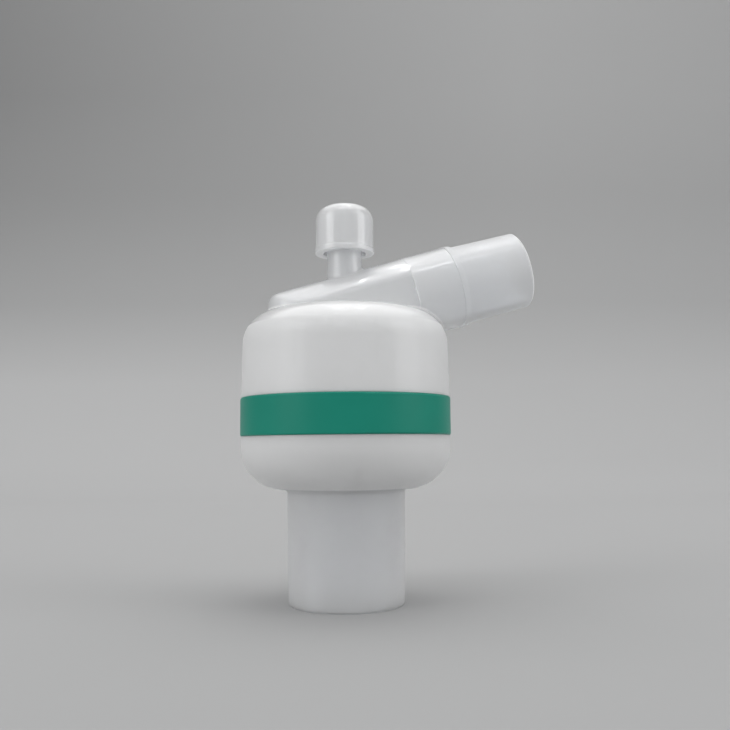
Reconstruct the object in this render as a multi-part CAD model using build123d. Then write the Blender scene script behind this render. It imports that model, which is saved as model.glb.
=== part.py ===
from build123d import *
import os
from math import cos, hypot, radians, sin, sqrt

# Breathing circuit filter: two clear mouldings joined by a green ring, with the media clamped between them.
# Millimetres. +Z runs up the body axis from the mouth of the lower port, and +X lies below the angled port.

# Walls and clearances
wall = 1.6                    # body wall of both mouldings
port_wall = 1.35              # wall round the angled port and its ramp
media_clearance = 0.06        # media beside the walls that hold it
thread_clearance = 0.3        # cap bore over the thread crests
seal_clearance = 0.05         # sealing disc above the sampling port and below the cap's roof
edge = 0.3                    # broken outer edges

# Conical fittings, given at their small end
cone_rate = 1 / 80            # radius gained for each millimetre, a taper of 1 in 40
male_22_radius = 11.0         # at the mouth of the lower port
socket_15_radius = 7.76       # at the same mouth, narrowing upwards
socket_15_depth = 17.0
male_15_radius = 7.61         # at the tip of the angled port
male_15_length = 13.6         # from the tip to the collar
bore_15_radius = 6.3          # gas way at the tip
luer_mouth_radius = 2.15
luer_rate = 0.03              # a taper of 6 percent
luer_depth = 7.5

# Joint, and the ring moulded over it, which sets the girth of both mouldings
joint_height = 35.2           # top of the lower wall
ring_radius = 20.21
ring_overlap = 3.57           # how far it reaches below the joint
ring_height = 7.28
ring_depth = 0.65             # how far it reaches into the wall
ring_edge = 0.35

# Lower moulding
bowl_floor = 21.6             # underside of the bowl
bowl_step = 0.2               # how far the ring stands proud of it
bowl_shoulder = 7.9           # height of its curve, which starts at the neck's fillet
neck_fillet = 0.8
fin_count = 8
fin_width = 1.0
fin_height = 2.9              # from the bowl's inner floor to the core
fin_foot = 17.8               # height where the fins start in the throat

# Upper moulding
dome_top = 55.95
dome_step = 0.15              # how far the ring stands proud of its foot
dome_shoulder = 6.5
dome_crown = 0.3              # rise of the top from shoulder to middle
dome_draft = 0.02             # radius lost for each millimetre of height
stop_count = 8
stop_width = 0.9
stop_depth = 1.6
stop_root = 0.8               # how far each rib runs into the wall
stop_turn = 9.4               # degrees from +X

# Angled port and the ramp that leads to it
port_tilt = 15.2              # degrees above level
port_height = 55.3            # where its axis crosses the body axis
port_reach = 36.9             # from there to the tip, along the axis
bore_foot = 6.3               # where its gas way starts, along the axis
collar_start = 13.3           # along the axis
collar_start_radius = 8.0
collar_end_radius = 8.12
collar_edge = 0.25
lip_radius = 8.27
lip_edge = 0.15
lip_length = 1.2
ramp_slope = 16.6             # degrees above level
ramp_crown = 63.2             # height of its ridge line above the body axis
ramp_behind = 21.0            # its section runs from this far behind the body axis, along the slope
ramp_ahead = 24.0             # to this far ahead of it
ramp_arch = 8.1               # radius across its top
ramp_half_width = 7.0
ramp_nose = -15.1             # its blind end
ramp_nose_round = 2.6         # rounding between its top and its blind end
ramp_overlap = 2.4            # how far it runs into the collar

# Sampling port and its cap
stem_top = 72.9
stem_radius = 3.4
stem_foot_radius = 3.62
stem_fillet = 0.6
thread_crest_radius = 3.9
stem_bore_radius = 1.5
cap_rim = 67.35
cap_height = 9.5
cap_radius = 5.7
cap_round = 3.0
cap_bead = 0.12               # rim bead beyond the grip
cap_bead_height = 0.9
grip_count = 30
grip_depth = 0.14
grip_width = 0.42             # of each groove at the surface
seal_thickness = 1.4

# Media
pinch = 0.8                   # thickness of the pad's rim between the walls
tongue = 0.4                  # upper wall's lip outside the pad's rim
pad_loft = 8.0                # height of the pad above its rim
pad_round = 2.6
core_gap = 1.1                # gas space round the core
core_turns = 5
core_groove = 0.35
core_groove_depth = 0.5

# Worked out from the sizes above
tilt = radians(port_tilt)
slope = radians(ramp_slope)
ring_bottom = joint_height - ring_overlap
ring_top = ring_bottom + ring_height
ring_seat = ring_radius - ring_depth
bowl_radius = ring_radius - bowl_step
cavity_radius = bowl_radius - wall
bowl_inner_floor = bowl_floor + wall
core_radius = cavity_radius - core_gap
core_bottom = bowl_inner_floor + fin_height
neck_radius = male_22_radius + cone_rate * bowl_floor
throat_radius = neck_radius - wall
bowl_start = neck_radius + neck_fillet
bowl_curve_top = min(bowl_floor + bowl_shoulder, ring_bottom - edge)
dome_start = dome_top - dome_crown - dome_shoulder
dome_foot_radius = ring_radius - dome_step
dome_radius = dome_foot_radius - dome_draft * (dome_start - ring_top)
pad_bottom = joint_height
pad_rim_top = joint_height + pinch
pad_top = pad_rim_top + pad_loft
pad_radius = dome_foot_radius - wall - dome_draft * (pad_top - ring_top) - media_clearance
lip_start = port_reach - male_15_length - lip_length
ramp_end = collar_start * cos(tilt) + ramp_overlap
seal_bottom = stem_top + seal_clearance
roof_height = seal_bottom + seal_thickness + seal_clearance
cap_bore_radius = thread_crest_radius + thread_clearance
cap_top = cap_rim + cap_height
half_arc = cos(radians(45))
upright = (Align.CENTER, Align.CENTER, Align.MIN)
blade_align = (Align.MIN, Align.CENTER, Align.MIN)
port_start = Plane(origin=(0, 0, port_height), x_dir=(0, 1, 0), z_dir=(cos(tilt), 0, sin(tilt)))
ramp_line = Plane(origin=(0, 0, ramp_crown), x_dir=(0, 1, 0), z_dir=(cos(slope), 0, sin(slope)))


def turned(outline):
    """Solid of revolution about Z from a closed half section."""
    with BuildPart() as p:
        with BuildSketch(Plane.XZ):
            with BuildLine():
                outline()
            make_face()
        revolve(axis=Axis.Z)
    return p.part


def quarter(start, corner, end):
    """Quarter of a circle or near it, from start to end, on the side of the corner."""
    middle = [s + e - c for s, e, c in zip(start, end, corner)]
    point = [m + (c - m) * half_arc for m, c in zip(middle, corner)]
    return ThreePointArc(start, tuple(point), end)


def disc(radius, bottom, top):
    """Round solid on the body axis."""
    return Pos(0, 0, bottom) * Cylinder(radius, top - bottom, align=upright)


def port_bar(start, end, radius_start, radius_end):
    """Tapered round bar on the angled port's axis."""
    bar = Cone(radius_start, radius_end, end - start, align=upright)
    return port_start.offset(start).location * bar


def dome_body(inset, foot):
    """Drafted wall, rounded shoulder and slightly crowned top, inset from the outside by a wall."""
    def outline():
        top = dome_top - inset
        shoulder = dome_shoulder - inset
        high = dome_radius - inset
        low = high + dome_draft * (dome_start - foot)
        shoulder_top = dome_start + shoulder
        Line((0, foot), (low, foot))
        Line((low, foot), (high, dome_start))
        quarter((high, dome_start), (high, shoulder_top), (high - shoulder, shoulder_top))
        Line((high - shoulder, shoulder_top), (0, top))
        Line((0, top), (0, foot))
    return turned(outline)


def ramp_section(inset):
    """Arched section, inset by a wall: its crown is at the origin less the inset."""
    half = ramp_half_width - inset
    side = sqrt((ramp_arch - inset) ** 2 - half ** 2) - ramp_arch
    top = ThreePointArc((-half, side), (0, -inset), (half, side))
    rest = Polyline((half, side), (half, -ramp_crown), (-half, -ramp_crown), (-half, side))
    return make_face([top, rest])


def ramp(inset, foot, far):
    """Ramp inset by a wall: its section runs up the slope, trimmed in plan to a round nose and to x = far."""
    section = ramp_line.offset(-ramp_behind) * ramp_section(inset)
    run = extrude(section, amount=ramp_behind + ramp_ahead)
    half = ramp_half_width - inset
    nose_centre = ramp_nose + ramp_half_width
    straight = Rectangle(far - nose_centre, 2 * half, align=(Align.MIN, Align.CENTER))
    plan = Pos(nose_centre, 0, foot) * (Circle(half) + straight)
    body = run & extrude(plan, amount=ramp_crown)
    nose = [e for e in body.edges() if e.center().X < nose_centre and e.center().Z > foot + ramp_nose_round]
    nose = [e for e in nose if abs(e.center().Y) < half / 2]
    return fillet(nose, ramp_nose_round - inset)


def sampling_stem():
    """Tapered stem of the sampling port, from inside the ramp's crown to its rim."""
    def outline():
        foot = ramp_crown - stem_foot_radius
        free = ramp_crown + stem_radius
        rim = stem_radius - edge
        Line((0, foot), (stem_foot_radius, foot))
        Line((stem_foot_radius, foot), (stem_radius, free))
        Line((stem_radius, free), (stem_radius, stem_top - edge))
        Line((stem_radius, stem_top - edge), (rim, stem_top))
        Line((rim, stem_top), (0, stem_top))
        Line((0, stem_top), (0, foot))
    return turned(outline)


def angled_port():
    """Collar, lip and male cone, solid."""
    collar = port_bar(collar_start, lip_start, collar_start_radius, collar_end_radius)
    collar = fillet(collar.edges().sort_by(Axis.X)[0], collar_edge)
    lip_end = lip_start + lip_length
    lip = port_bar(lip_start, lip_end, lip_radius, lip_radius - lip_edge)
    cone_start_radius = male_15_radius + cone_rate * (port_reach - lip_start)
    cone = port_bar(lip_start, port_reach, cone_start_radius, male_15_radius)
    return collar + lip + chamfer(cone.edges().group_by(Axis.X)[-1], edge)


def stops():
    """Ribs under the shoulder that hold the pad down, each trimmed to the inside of the dome."""
    clear = disc(dome_radius - wall - stop_depth, pad_top, dome_top)
    blade = Box(dome_radius, stop_width, dome_top - pad_top, align=blade_align)
    turns = [stop_turn + i * 360 / stop_count for i in range(stop_count)]
    ribs = Part() + [Rot(0, 0, a) * Pos(0, 0, pad_top) * blade for a in turns]
    return (ribs & dome_body(stop_root, pad_top)) - clear


def make_upper_housing():
    outside = dome_body(0, ring_top) + ramp(0, dome_start, ramp_end) + angled_port() + sampling_stem()
    foot = [e for e in outside.edges() if abs(e.center().Z - ramp_crown) < stem_radius
            and abs(hypot(e.start_point().X, e.start_point().Y) - stem_foot_radius) < edge]
    outside = fillet(foot, stem_fillet)
    outside = outside + disc(ring_seat, joint_height, pad_top)

    shell = outside - dome_body(wall, pad_rim_top) - disc(ring_seat - tongue, joint_height, pad_rim_top)
    bore_foot_radius = bore_15_radius - cone_rate * (port_reach - bore_foot)
    bore = port_bar(bore_foot, port_reach, bore_foot_radius, bore_15_radius)
    channel = ramp(port_wall, dome_start, collar_start * cos(tilt))
    luer_foot_radius = luer_mouth_radius - luer_rate * luer_depth
    luer = Cone(luer_foot_radius, luer_mouth_radius, luer_depth, align=upright)
    sample_way = disc(stem_bore_radius, dome_start, stem_top - edge)
    return shell + stops() - bore - channel - Pos(0, 0, stem_top - luer_depth) * luer - sample_way


def make_lower_housing():
    def outside():
        foot = male_22_radius - edge
        neck_top = bowl_floor - neck_fillet
        Line((0, 0), (foot, 0))
        Line((foot, 0), (male_22_radius, edge))
        Line((male_22_radius, edge), (neck_radius, neck_top))
        quarter((neck_radius, neck_top), (neck_radius, bowl_floor), (bowl_start, bowl_floor))
        quarter((bowl_start, bowl_floor), (bowl_radius, bowl_floor), (bowl_radius, bowl_curve_top))
        Line((bowl_radius, bowl_curve_top), (bowl_radius, ring_bottom))
        Line((bowl_radius, ring_bottom), (ring_seat, ring_bottom))
        Line((ring_seat, ring_bottom), (ring_seat, joint_height))
        Line((ring_seat, joint_height), (0, joint_height))
        Line((0, joint_height), (0, 0))

    def inside():
        floor = bowl_inner_floor
        socket_end_radius = socket_15_radius - cone_rate * socket_15_depth
        throat_top = floor - neck_fillet
        floor_start = throat_radius + neck_fillet
        Line((0, 0), (socket_15_radius, 0))
        Line((socket_15_radius, 0), (socket_end_radius, socket_15_depth))
        Line((socket_end_radius, socket_15_depth), (throat_radius, socket_15_depth))
        Line((throat_radius, socket_15_depth), (throat_radius, throat_top))
        quarter((throat_radius, throat_top), (throat_radius, floor), (floor_start, floor))
        Line((floor_start, floor), (bowl_start, floor))
        quarter((bowl_start, floor), (cavity_radius, floor), (cavity_radius, bowl_curve_top))
        Line((cavity_radius, bowl_curve_top), (cavity_radius, joint_height))
        Line((cavity_radius, joint_height), (0, joint_height))
        Line((0, joint_height), (0, 0))

    outer = turned(outside)
    inner = turned(inside)
    core_pocket = disc(core_radius + media_clearance, core_bottom, joint_height)
    throat = disc(throat_radius - fin_width, 0, core_bottom)
    blade = Box(cavity_radius, fin_width, joint_height - wall - fin_foot, align=blade_align)
    fins = Part() + [Rot(0, 0, i * 360 / fin_count) * Pos(0, 0, fin_foot) * blade for i in range(fin_count)]
    fins = (fins & outer) - core_pocket - throat
    return (outer - inner) + fins


def make_seal_ring():
    def outline():
        inner = ring_radius - ring_edge
        low = ring_bottom + ring_edge
        high = ring_top - ring_edge
        Line((ring_seat, ring_bottom), (inner, ring_bottom))
        quarter((inner, ring_bottom), (ring_radius, ring_bottom), (ring_radius, low))
        Line((ring_radius, low), (ring_radius, high))
        quarter((ring_radius, high), (ring_radius, ring_top), (inner, ring_top))
        Line((inner, ring_top), (ring_seat, ring_top))
        Line((ring_seat, ring_top), (ring_seat, ring_bottom))
    return turned(outline)


def make_filter_pad():
    def outline():
        rim = ring_seat - tongue - media_clearance
        top_edge = pad_radius - pad_round
        Line((0, pad_bottom), (rim, pad_bottom))
        Line((rim, pad_bottom), (rim, pad_rim_top))
        Line((rim, pad_rim_top), (pad_radius, pad_rim_top))
        Line((pad_radius, pad_rim_top), (pad_radius, pad_top - pad_round))
        quarter((pad_radius, pad_top - pad_round), (pad_radius, pad_top), (top_edge, pad_top))
        Line((top_edge, pad_top), (0, pad_top))
        Line((0, pad_top), (0, pad_bottom))
    return turned(outline)


def make_hme_core():
    """Paper roll, with the gaps between its turns showing as grooves in both ends."""
    roll = disc(core_radius, core_bottom, pad_bottom)
    pitch = core_radius / core_turns
    for turn in range(1, core_turns):
        for foot in (core_bottom, pad_bottom - core_groove_depth):
            inner = turn * pitch
            gap = disc(inner + core_groove, foot, foot + core_groove_depth)
            roll = roll - (gap - disc(inner, foot, foot + core_groove_depth))
    return roll


def make_luer_cap():
    def outline():
        grip_top = cap_top - cap_round
        roof_edge = cap_radius - cap_round
        Line((0, cap_rim), (cap_radius, cap_rim))
        Line((cap_radius, cap_rim), (cap_radius, grip_top))
        quarter((cap_radius, grip_top), (cap_radius, cap_top), (roof_edge, cap_top))
        Line((roof_edge, cap_top), (0, cap_top))
        Line((0, cap_top), (0, cap_rim))
    reach = 2 * grip_depth        # each V runs on past the surface, as wide again
    tooth = Polygon((0, 0), (reach, grip_width), (reach, -grip_width), align=None)
    groove = extrude(tooth, amount=cap_height - cap_round)
    turns = [i * 360 / grip_count for i in range(grip_count)]
    grip = [Rot(0, 0, a) * Pos(cap_radius - grip_depth, 0, cap_rim) * groove for a in turns]
    bead = disc(cap_radius + cap_bead, cap_rim, cap_rim + cap_bead_height)
    bead = fillet(bead.edges().filter_by(GeomType.CIRCLE), cap_bead)
    return turned(outline) - grip + bead - disc(cap_bore_radius, cap_rim, roof_height)


def make_cap_seal():
    return disc(cap_bore_radius - thread_clearance, seal_bottom, seal_bottom + seal_thickness)


os.makedirs("parts", exist_ok=True)
pieces = {
    "upper_housing": make_upper_housing(),
    "lower_housing": make_lower_housing(),
    "seal_ring": make_seal_ring(),
    "filter_pad": make_filter_pad(),
    "hme_core": make_hme_core(),
    "luer_cap": make_luer_cap(),
    "cap_seal": make_cap_seal(),
}
for name, piece in pieces.items():
    export_step(piece, f"parts/{name}.step")
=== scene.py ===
import math

import bmesh
import bpy
from mathutils import Matrix, Vector


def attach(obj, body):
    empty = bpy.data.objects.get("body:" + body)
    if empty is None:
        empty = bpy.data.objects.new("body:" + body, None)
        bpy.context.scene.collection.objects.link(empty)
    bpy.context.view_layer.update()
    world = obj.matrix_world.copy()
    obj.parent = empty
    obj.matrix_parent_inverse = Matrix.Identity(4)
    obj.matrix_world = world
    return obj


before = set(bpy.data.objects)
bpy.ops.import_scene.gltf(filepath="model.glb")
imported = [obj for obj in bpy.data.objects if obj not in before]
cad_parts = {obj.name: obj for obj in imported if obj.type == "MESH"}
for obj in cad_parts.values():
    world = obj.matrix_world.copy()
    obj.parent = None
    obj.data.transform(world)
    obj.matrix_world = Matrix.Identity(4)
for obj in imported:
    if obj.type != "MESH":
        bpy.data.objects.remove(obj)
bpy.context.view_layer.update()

mm = 0.001


# Shader maths and nodes
class Wire:
    # a node's output, with the usual operators adding Math nodes
    def __init__(self, tree, value):
        self.tree = tree
        self.value = value

    def maths(self, operation, other, swap=False):
        pair = [other, self] if swap else [self, other]
        return self.tree.add("ShaderNodeMath", {"operation": operation}, {0: pair[0], 1: pair[1]})

    def __add__(self, other):
        return self.maths("ADD", other)

    def __radd__(self, other):
        return self.maths("ADD", other, True)

    def __sub__(self, other):
        return self.maths("SUBTRACT", other)

    def __rsub__(self, other):
        return self.maths("SUBTRACT", other, True)

    def __mul__(self, other):
        return self.maths("MULTIPLY", other)

    def __rmul__(self, other):
        return self.maths("MULTIPLY", other, True)


class Recipe:
    # one material's node tree, filled by add()
    def __init__(self, name):
        self.material = bpy.data.materials.new(name)
        self.material.use_nodes = True
        self.nodes = self.material.node_tree.nodes
        self.links = self.material.node_tree.links
        self.nodes.clear()

    def add(self, kind, settings=None, sockets=None, out=0):
        node = self.nodes.new(kind)
        for key, value in (settings or {}).items():
            if key == "stops":
                ramp = node.color_ramp
                while len(ramp.elements) < len(value):
                    ramp.elements.new(0.5)
                for element, (place, colour) in zip(ramp.elements, value):
                    element.position = place
                    element.color = colour
            else:
                setattr(node, key, value)
        for key, value in (sockets or {}).items():
            if isinstance(value, Wire):
                self.links.new(value.value, node.inputs[key])
            else:
                node.inputs[key].default_value = value
        return Wire(self, node.outputs[out]) if node.outputs else node

    def finish(self, shader):
        self.add("ShaderNodeOutputMaterial", None, {"Surface": shader})
        return self.material

    def place(self):
        return self.add("ShaderNodeTexCoord", out="Object")

    def part(self, axis):
        return self.add("ShaderNodeSeparateXYZ", None, {0: self.place()}, out=axis)

    def noise(self, scale, detail, roughness=0.5, stretch=(1, 1, 1)):
        where = self.add("ShaderNodeMapping", None, {"Vector": self.place(), "Scale": stretch})
        return self.add("ShaderNodeTexNoise", None,
                        {"Vector": where, "Scale": scale, "Detail": detail, "Roughness": roughness})

    def blend(self, factor, low, high):
        return self.add("ShaderNodeMix", {"data_type": "RGBA"}, {0: factor, 6: low, 7: high}, out=2)

    def ease(self, value, low, high):
        return self.add("ShaderNodeMapRange", None, {0: value, 1: low, 2: high})

    def bump(self, height, strength, distance, normal=None):
        sockets = {"Height": height, "Strength": strength, "Distance": distance}
        if normal:
            sockets["Normal"] = normal
        return self.add("ShaderNodeBump", None, sockets)


# Translucent plastic of the two mouldings and the cap
milky = {
    "warm": (0.97, 0.966, 0.955, 1), "cool": (0.945, 0.955, 0.975, 1),        # thrown back, over media and not
    "through": (0.95, 0.97, 1.0, 1), "throughDeep": (0.92, 0.95, 0.99, 1),    # light that passes it
    "cloud": 90.0, "cloudDetail": 4, "cloudShare": 0.06,
    "grain": 900.0, "grainDetail": 2, "grainBump": 0.15, "grainDepth": 0.02 * mm,
    "ridge": 0.4 * mm, "ridgeRays": 4,                      # rounding shaded on the ridges above the body
    "rough": 0.28, "roughSpread": 0.08, "ground": 0.14, "throughRough": 0.08,
    "depth": 0.9 * mm, "ior": 1.45, "gloss": 0.05,
    "mediaShare": 0.78, "shellShare": 0.50, "capShare": 0.68,       # part that scatters: over media, shell, cap
    "inward": 0.75,                                         # part of the lamps' light let into the inside
}

zone = {
    "fade": 0.3 * mm,
    "mediaLow": 22.0 * mm,                                  # bottom of the bowl
    "shoulderHeight": 49.15 * mm, "shoulderRing": 13.36 * mm, "shoulderReach": 6.85 * mm,     # round the dome
    "glossLow": 52.4 * mm, "ridgeEnd": 9.5 * mm,
    "portHeight": 55.3 * mm, "portTilt": math.radians(15.2), "collarEnd": 22.1 * mm, "paintedGlowStart": 36.45 * mm,
}


def aboveBody(r):
    # 1 outside the dome's rounded shoulder, which is a circle carried round the body axis
    flat = r.add("ShaderNodeVectorMath", {"operation": "MULTIPLY"}, {0: r.place(), 1: (1, 1, 0)})
    girth = r.add("ShaderNodeVectorMath", {"operation": "LENGTH"}, {0: flat}, out="Value")
    outward = (girth - zone["shoulderRing"]).maths("MAXIMUM", 0.0)
    upward = (r.part("Z") - zone["shoulderHeight"]).maths("MAXIMUM", 0.0)
    reach = (outward * outward + upward * upward).maths("POWER", 0.5)
    return r.ease(reach, zone["shoulderReach"], zone["shoulderReach"] + zone["fade"])


def milkyPlastic(name, emptyShare):
    # natural polypropylene: part of the light passes, part is scattered in the wall, under a glossy skin
    r = Recipe(name)
    fade = zone["fade"]
    cloud = r.noise(milky["cloud"], milky["cloudDetail"])
    grain = r.noise(milky["grain"], milky["grainDetail"])
    along = r.part("X")
    height = r.part("Z")
    above = aboveBody(r)
    below = 1 - r.ease(height, zone["mediaLow"] - fade, zone["mediaLow"])
    empty = above.maths("MAXIMUM", below)                   # 1 where no media lies behind the wall
    tilt = zone["portTilt"]
    reach = along * math.cos(tilt) + (height - zone["portHeight"]) * math.sin(tilt)
    satin = r.ease(reach, zone["collarEnd"], zone["collarEnd"] + fade)      # ground cone beyond the collar
    paintedEndGlow = r.ease(reach, zone["paintedGlowStart"], zone["paintedGlowStart"] + fade)          # painted glow at its end face: the wall scatters fully there, so it reads lighter

    ridge = above * (1 - r.ease(along, zone["ridgeEnd"], zone["ridgeEnd"] + fade))
    rounded = r.add("ShaderNodeBevel", {"samples": milky["ridgeRays"]}, {"Radius": milky["ridge"]})
    plain = r.add("ShaderNodeNewGeometry", out="Normal")
    turned = r.add("ShaderNodeMix", {"data_type": "VECTOR"}, {0: ridge, 4: plain, 5: rounded}, out=1)
    skin = {
        "Normal": r.bump(grain, milky["grainBump"], milky["grainDepth"], turned), "IOR": milky["ior"],
        "Coat Weight": r.ease(height, zone["glossLow"], zone["glossLow"] + fade) * (1 - satin),
        "Coat Roughness": milky["gloss"]}

    scatter = r.add("ShaderNodeBsdfPrincipled", None, {
        "Base Color": r.blend(empty, milky["warm"], milky["cool"]),
        "Roughness": milky["rough"] + cloud * milky["roughSpread"] + satin * milky["ground"],
        "Subsurface Weight": 1.0, "Subsurface Radius": (1.0, 1.0, 1.0),
        "Subsurface Scale": milky["depth"], **skin})
    through = r.add("ShaderNodeBsdfPrincipled", None, {
        "Base Color": r.blend(cloud, milky["throughDeep"], milky["through"]),
        "Roughness": milky["throughRough"] + cloud * milky["roughSpread"],
        "Transmission Weight": 1.0, **skin})
    # the scattered share rises to all of it in the painted glow at the cone's end
    share = milky["mediaShare"] + empty * (emptyShare - milky["mediaShare"]) + paintedEndGlow * (1 - emptyShare)
    factor = share + (cloud - 0.5) * milky["cloudShare"]
    plastic = r.add("ShaderNodeMixShader", None, {0: factor, 1: through, 2: scatter})
    inward = r.add("ShaderNodeLightPath", out="Is Shadow Ray") * milky["inward"]
    nothing = r.add("ShaderNodeBsdfTransparent")
    return r.finish(r.add("ShaderNodeMixShader", None, {0: inward, 1: plastic, 2: nothing}))


# Overmoulded ring
ring = {
    "low": (0.006, 0.255, 0.180, 1), "high": (0.011, 0.300, 0.215, 1), "cloud": 120.0, "cloudDetail": 4,
    "rough": 0.34, "roughSpread": 0.12, "specular": 0.25,
    "grain": 2600.0, "grainDetail": 2, "grainBump": 0.25, "grainDepth": 0.02 * mm,
}


def greenRubber():
    # satin elastomer with a very fine eroded grain
    r = Recipe("greenRing")
    cloud = r.noise(ring["cloud"], ring["cloudDetail"])
    grain = r.noise(ring["grain"], ring["grainDetail"])
    return r.finish(r.add("ShaderNodeBsdfPrincipled", None, {
        "Base Color": r.blend(cloud, ring["low"], ring["high"]),
        "Roughness": ring["rough"] + grain * ring["roughSpread"],
        "Normal": r.bump(grain, ring["grainBump"], ring["grainDepth"]),
        "Specular IOR Level": ring["specular"]}))


# Filter pad
pad = {
    "low": (0.72, 0.72, 0.70, 1), "high": (0.93, 0.93, 0.91, 1), "rough": 0.95, "sheen": 0.2,
    "fibre": 700.0, "fibreDetail": 6, "fibreRough": 0.6, "stretch": 6, "bump": 0.8, "depth": 0.2 * mm,
}


def fleece():
    # lofted fleece: fine crossed fibres
    r = Recipe("whiteFleece")
    look = (pad["fibre"], pad["fibreDetail"], pad["fibreRough"])
    along = r.noise(*look, (1, pad["stretch"], 1))
    across = r.noise(*look, (pad["stretch"], 1, 1))
    fibre = along * 0.5 + across * 0.5
    return r.finish(r.add("ShaderNodeBsdfPrincipled", None, {
        "Base Color": r.blend(fibre, pad["low"], pad["high"]),
        "Roughness": pad["rough"], "Normal": r.bump(fibre, pad["bump"], pad["depth"]),
        "Sheen Weight": pad["sheen"]}))


# Heat and moisture exchanger
core = {
    "low": (0.62, 0.60, 0.55, 1), "high": (0.92, 0.91, 0.87, 1), "rough": 0.9,
    "turns": 150.0, "waver": 1.5, "detail": 2.0, "fineness": 3.0, "bump": 0.7, "depth": 0.2 * mm,
}


def rolledPaper():
    # corrugated paper wound in a roll: the waves of each turn show on its ends
    r = Recipe("rolledPaper")
    turns = r.add("ShaderNodeTexWave", {"wave_type": "RINGS", "rings_direction": "Z"}, {
        "Vector": r.place(), "Scale": core["turns"], "Distortion": core["waver"],
        "Detail": core["detail"], "Detail Scale": core["fineness"]}, out=1)
    return r.finish(r.add("ShaderNodeBsdfPrincipled", None, {
        "Base Color": r.blend(turns, core["low"], core["high"]),
        "Roughness": core["rough"], "Normal": r.bump(turns, core["bump"], core["depth"])}))


# Sealing disc in the cap
disc = {
    "low": (0.70, 0.71, 0.70, 1), "high": (0.82, 0.83, 0.82, 1), "rough": 0.55, "roughSpread": 0.2,
    "grain": 1500.0, "grainDetail": 3, "bump": 0.3, "depth": 0.03 * mm,
}


def softSeal():
    r = Recipe("softSeal")
    grain = r.noise(disc["grain"], disc["grainDetail"])
    return r.finish(r.add("ShaderNodeBsdfPrincipled", None, {
        "Base Color": r.blend(grain, disc["low"], disc["high"]),
        "Roughness": disc["rough"] + grain * disc["roughSpread"],
        "Normal": r.bump(grain, disc["bump"], disc["depth"])}))


def dress():
    shell = milkyPlastic("milkyShell", milky["shellShare"])
    cap = milkyPlastic("milkyCap", milky["capShare"])
    finishes = {
        "upper_housing": shell, "lower_housing": shell, "luer_cap": cap, "seal_ring": greenRubber(),
        "filter_pad": fleece(), "hme_core": rolledPaper(), "cap_seal": softSeal()}
    for node, material in finishes.items():
        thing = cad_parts[node]
        thing.data.materials.clear()
        thing.data.materials.append(material)
    print("dressed", len(finishes), "nodes")
    return shell, cap


# Thread outside the sampling port, and the one inside the cap
thread = {
    "lead": 5.0 * mm, "starts": 2, "turns": 0.62, "steps": 25,
    "foot": 1.3 * mm, "land": 0.5 * mm,                     # width of a tooth at its root and at its crest
    "portRoot": 3.30 * mm, "portCrest": 3.88 * mm, "portLow": 68.3 * mm,
    "capRoot": 4.28 * mm, "capCrest": 3.96 * mm, "capLow": 68.0 * mm,
    "weld": 0.0001 * mm, "crease": math.radians(30),
}


def makeThread(name, root, crest, low, body, material):
    # one tooth profile spun about the port's axis with a rise at every step, once for each start
    flank = (thread["foot"] - thread["land"]) / 2
    profile = [(root, 0), (crest, flank), (crest, flank + thread["land"]), (root, thread["foot"])]
    rise = thread["lead"] * thread["turns"] / thread["steps"]
    bm = bmesh.new()
    for start in range(thread["starts"]):
        turn = Matrix.Rotation(start * 2 * math.pi / thread["starts"], 4, "Z")
        face = bm.faces.new([bm.verts.new(turn @ Vector((radius, 0, low + up))) for radius, up in profile])
        bmesh.ops.spin(bm, geom=[face], axis=(0, 0, 1), cent=(0, 0, 0), dvec=(0, 0, rise),
                       angle=2 * math.pi * thread["turns"], steps=thread["steps"], use_duplicate=False)
    bmesh.ops.remove_doubles(bm, verts=bm.verts, dist=thread["weld"])
    bmesh.ops.recalc_face_normals(bm, faces=bm.faces)

    mesh = bpy.data.meshes.new(name)
    bm.to_mesh(mesh)
    bm.free()
    mesh.materials.append(material)
    mesh.shade_smooth()
    piece = bpy.data.objects.new(name, mesh)
    bpy.context.scene.collection.objects.link(piece)
    piece.modifiers.new("crease", "EDGE_SPLIT").split_angle = thread["crease"]
    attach(piece, body)
    print("cut", name)


def makeThreads(shell, cap):
    makeThread("portThread", thread["portRoot"], thread["portCrest"], thread["portLow"],
               "housing", shell)
    makeThread("capThread", thread["capRoot"], thread["capCrest"], thread["capLow"],
               "cap", cap)


# Floor and backdrop in one curved sheet, square to the camera
sweep = {
    "front": -0.6, "bend": 0.30, "radius": 0.25, "steps": 16, "top": 0.9, "half": 1.6,
    "turn": math.radians(-7.48), "rough": 0.75, "specular": 0.2,
    "tall": 0.5,                                            # painted shade: tones are given by height, as shares of this, darker up the backdrop
    "left": [(0.0, 0.49), (0.04, 0.495), (0.16, 0.475), (0.30, 0.368), (0.68, 0.266), (1.0, 0.262)],
    "right": [(0.0, 0.49), (0.04, 0.47), (0.16, 0.45), (0.30, 0.395), (0.68, 0.408), (1.0, 0.394)],
    "crossing": 2.2, "middle": 0.5,                         # from the left's tones to the right's; the left's painted shade is deeper up the backdrop
    "near": (-0.06, 0.87), "far": (0.30, 1.05),             # place and share of the tone, front to back: painted shade, darker in front
}


def sweepOutline():
    outline = [Vector((0, sweep["front"], 0)), Vector((0, sweep["bend"], 0))]
    for step in range(1, sweep["steps"] + 1):
        turn = step / sweep["steps"] * math.pi / 2
        back = sweep["bend"] + sweep["radius"] * math.sin(turn)
        up = sweep["radius"] * (1 - math.cos(turn))
        outline.append(Vector((0, back, up)))
    outline.append(Vector((0, sweep["bend"] + sweep["radius"], sweep["top"])))
    return outline


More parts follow.
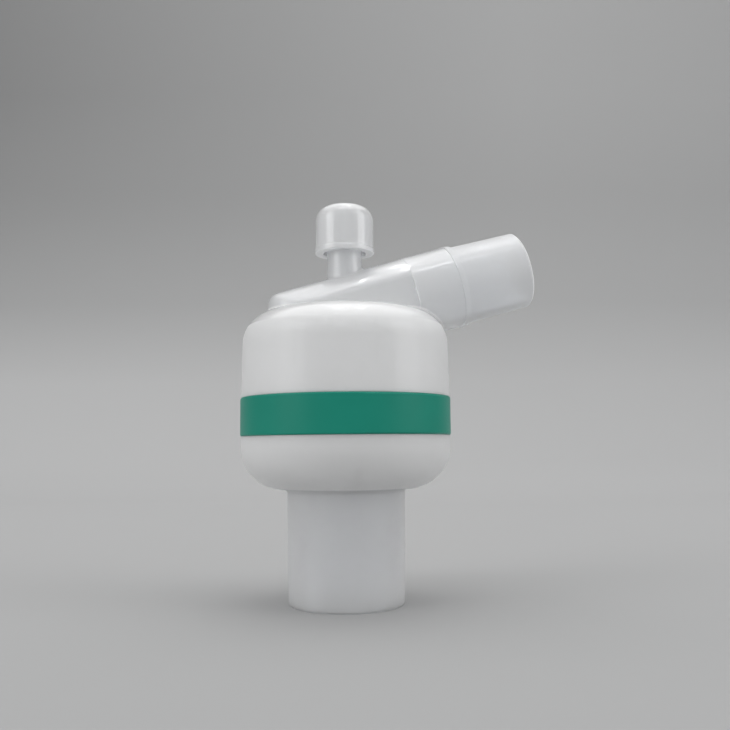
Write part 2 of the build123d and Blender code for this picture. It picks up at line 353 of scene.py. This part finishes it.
def paleSheet():
    # painted shade: the sheet darkens up the backdrop, on the left and towards the front
    r = Recipe("sweepWithPaintedShade")
    height = r.part("Z") * (1 / sweep["tall"])
    side = r.part("X") * sweep["crossing"] + sweep["middle"]
    tones = []
    for name in ("left", "right"):
        stops = [(at, (tone, tone, tone, 1)) for at, tone in sweep[name]]
        tones.append(r.add("ShaderNodeValToRGB", {"stops": stops}, {0: height}))
    (nearAt, near), (farAt, far) = sweep["near"], sweep["far"]
    depth = r.ease(r.part("Y"), nearAt, farAt) * (far - near) + near
    tone = r.add("ShaderNodeVectorMath", {"operation": "SCALE"}, {0: r.blend(side, *tones), "Scale": depth})
    return r.finish(r.add("ShaderNodeBsdfPrincipled", None, {
        "Base Color": tone, "Roughness": sweep["rough"], "Specular IOR Level": sweep["specular"]}))


def makeSweep():
    bm = bmesh.new()
    left = Vector((-sweep["half"], 0, 0))
    points = [bm.verts.new(point + left) for point in sweepOutline()]
    edges = [bm.edges.new(pair) for pair in zip(points, points[1:])]
    made = bmesh.ops.extrude_edge_only(bm, edges=edges)["geom"]
    moved = [v for v in made if isinstance(v, bmesh.types.BMVert)]
    bmesh.ops.translate(bm, vec=-2 * left, verts=moved)
    bmesh.ops.rotate(bm, cent=(0, 0, 0), matrix=Matrix.Rotation(sweep["turn"], 3, "Z"), verts=bm.verts)
    mesh = bpy.data.meshes.new("sweep")
    bm.to_mesh(mesh)
    bm.free()
    mesh.shade_smooth()
    mesh.materials.append(paleSheet())
    floor = bpy.data.objects.new("sweep", mesh)
    bpy.context.scene.collection.objects.link(floor)
    print("floor and backdrop laid")


# Light: a large soft panel above with tubes in it, a strip in front, one panel at either side, and the room
lamps = {
    "top": {"at": (0.0, 0.12, 0.80), "aim": (0, 0.08, 0.04), "size": (1.3, 1.0), "watts": 4.1},
    "left": {"at": (-0.60, -0.25, 0.30), "aim": (0, 0, 0.05), "size": (0.4, 0.5), "watts": 1.1},
    "right": {"at": (0.60, -0.30, 0.32), "aim": (0, 0, 0.05), "size": (0.4, 0.5), "watts": 1.1},
    "strip": {"at": (0.02, -0.23, 0.61), "aim": (0, 0, 0.06), "size": (0.5, 0.03), "watts": 0.25},
    "tube0": {"at": (-0.062, 0.10, 0.79), "aim": (-0.062, 0.101, 0), "size": (0.006, 0.34), "watts": 0.10},
    "tube1": {"at": (-0.013, 0.10, 0.79), "aim": (-0.013, 0.101, 0), "size": (0.006, 0.34), "watts": 0.10},
    "tube2": {"at": (0.103, 0.10, 0.79), "aim": (0.103, 0.101, 0), "size": (0.006, 0.34), "watts": 0.10},
    "tube3": {"at": (0.142, 0.10, 0.79), "aim": (0.142, 0.101, 0), "size": (0.006, 0.34), "watts": 0.10},
}
room = {"colour": (0.86, 0.87, 0.88, 1), "strength": 0.48}


def makeLight():
    for name, lamp in lamps.items():
        data = bpy.data.lights.new(name, "AREA")
        data.shape = "RECTANGLE"
        data.size, data.size_y = lamp["size"]
        data.energy = lamp["watts"]
        light = bpy.data.objects.new(name, data)
        light.location = lamp["at"]
        facing = Vector(lamp["aim"]) - Vector(lamp["at"])
        light.rotation_euler = facing.to_track_quat("-Z", "Y").to_euler()
        bpy.context.scene.collection.objects.link(light)
    world = bpy.data.worlds.new("room")
    world.use_nodes = True
    background = world.node_tree.nodes["Background"]
    background.inputs["Color"].default_value = room["colour"]
    background.inputs["Strength"].default_value = room["strength"]
    bpy.context.scene.world = world
    print("lit by", len(lamps), "lamps")


# Camera, where the photograph was taken from
view = {
    "distance": 161.52 * mm, "height": 29.36 * mm, "turn": math.radians(7.48),
    "up": math.radians(5.659), "across": math.radians(1.358), "roll": math.radians(-0.52),
    "focal": 832.8, "width": 730,                           # in pixels
    "sensor": 36.0, "nearest": 10 * mm,
}


def makeCamera():
    data = bpy.data.cameras.new("photo")
    data.sensor_width = view["sensor"]
    data.lens = view["focal"] / view["width"] * view["sensor"]
    data.clip_start = view["nearest"]
    camera = bpy.data.objects.new("photo", data)
    bpy.context.scene.collection.objects.link(camera)
    about = Matrix.Rotation(-view["turn"], 3, "Z")
    forward = Vector((math.sin(view["across"]) * math.cos(view["up"]),
                      math.cos(view["across"]) * math.cos(view["up"]), math.sin(view["up"])))
    right = forward.cross(Vector((0, 0, 1))).normalized()
    up = right.cross(forward)
    c, s = math.cos(view["roll"]), math.sin(view["roll"])
    right, up = c * right + s * up, c * up - s * right
    axes = Matrix((right, up, -forward)).transposed()
    place = about @ Vector((0, -view["distance"], view["height"]))
    camera.matrix_world = Matrix.Translation(place) @ (about @ axes).to_4x4()
    bpy.context.scene.camera = camera
    print("camera placed")


makeThreads(*dress())
makeSweep()
makeLight()
makeCamera()
bpy.context.scene.view_settings.view_transform = "Standard"
